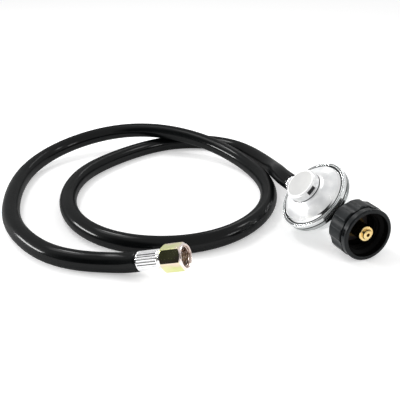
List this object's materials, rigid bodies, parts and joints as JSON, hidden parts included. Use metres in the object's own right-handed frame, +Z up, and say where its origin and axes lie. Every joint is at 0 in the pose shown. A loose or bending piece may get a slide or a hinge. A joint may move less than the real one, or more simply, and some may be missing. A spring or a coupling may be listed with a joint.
{
  "type": "gas regulator hose",
  "caption": "Low-pressure gas regulator with a black cylinder hand nut, a long black rubber hose with crimped sleeves and a brass-coloured flare nut on its end.",
  "frame": {"origin": "on the surface the part lies on, under the middle of the regulator and its hand nut without the hose", "axes": "+X along the gas inlet, out of the hand nut's mouth; +Z up from the surface; +Y completes the right-handed set"},
  "size_m": [0.3674, 0.3, 0.0613],
  "materials": {
    "regulator_casting": "bright zinc casting with fine grain",
    "regulator_cover": "bright pressed cover, almost white under soft light",
    "vent_mesh": "dark fine screen",
    "cap_plastic": "pale grey matt plastic",
    "spring_steel": "drawn spring wire",
    "slip_plastic": "thin white slip ring",
    "diaphragm_rubber": "fabric-reinforced rubber",
    "plate_steel": "zinc-plated steel",
    "brass": "turned brass",
    "seat_rubber": "nitrile rubber disc",
    "nut_plastic": "satin charcoal moulded plastic",
    "bushing_plastic": "dark thermal plastic",
    "tail_steel": "yellow-chromate plated steel",
    "ferrule_zinc": "bright zinc plate with crimp flutes",
    "hose_rubber": "smooth black rubber cover",
    "flare_chromate": "yellow-chromate zinc, slightly iridescent"
  },
  "bodies": {
    "regulator": {"lower_body": "regulator_casting", "upper_cover": "regulator_cover", "vent_screen": "vent_mesh", "closing_cap": "cap_plastic", "adjusting_screw": "cap_plastic", "main_spring": "spring_steel", "slip_ring": "slip_plastic", "diaphragm": "diaphragm_rubber", "lever_pin": "plate_steel", "valve_seat": "brass", "inlet_nipple": "brass", "flow_spring": "spring_steel", "spring_keeper": "brass", "outlet_stem": "tail_steel", "outlet_ferrule": "ferrule_zinc", "hose": "hose_rubber", "end_ferrule": "ferrule_zinc", "flare_stem": "tail_steel"},
    "hand_nut": {"coupling_nut": "nut_plastic", "thermal_bushing": "bushing_plastic"},
    "poppet": {"flow_poppet": "brass"},
    "pusher_group": {"pusher": "plate_steel", "relief_spring": "spring_steel", "relief_retainer": "brass"},
    "plate": {"diaphragm_plate": "plate_steel"},
    "rocker": {"lever": "brass"},
    "valve": {"valve_stem": "plate_steel", "seat_disc": "seat_rubber"},
    "end_nut": {"flare_nut": "flare_chromate"}
  },
  "joints": [
    {"name": "coupling_spin", "type": "hinge", "parent": "regulator", "child": "hand_nut", "pos_m": [0.035, 0.0075, 0.023], "axis": [1, 0, 0], "continuous": true},
    {"name": "flow_check", "type": "slide", "parent": "regulator", "child": "poppet", "axis": [-1, 0, 0], "range_m": [0, 0.003], "stiffness_N_per_m": 60, "springref_m": -0.002, "deforming": ["flow_spring"]},
    {"name": "diaphragm_travel", "type": "slide", "parent": "regulator", "child": "pusher_group", "axis": [0, -0.7314, 0.682], "range_m": [0, 0.003], "stiffness_N_per_m": 2500, "springref_m": -0.004, "deforming": ["main_spring", "diaphragm"]},
    {"name": "relief_lift", "type": "slide", "parent": "pusher_group", "child": "plate", "axis": [0, -0.7314, 0.682], "range_m": [0, 0.001], "stiffness_N_per_m": 1500, "springref_m": -0.002, "deforming": ["relief_spring"]},
    {"name": "lever_rock", "type": "hinge", "parent": "regulator", "child": "rocker", "pos_m": [-0.0155, 0.00165, 0.02846], "axis": [0, 0.682, 0.7314], "range_deg": [-12.4, 0]},
    {"name": "valve_slide", "type": "slide", "parent": "regulator", "child": "valve", "axis": [1, 0, 0], "range_m": [0, 0.00151]},
    {"name": "flare_nut_spin", "type": "hinge", "parent": "regulator", "child": "end_nut", "pos_m": [0.03462, -0.15159, 0.02183], "axis": [0.6416, 0.7125, 0.284], "continuous": true}
  ],
  "couplings": [
    {"joint": "lever_rock", "follows": "diaphragm_travel", "rad_per_m": -71.43},
    {"joint": "valve_slide", "follows": "diaphragm_travel", "ratio": 0.5}
  ]
}
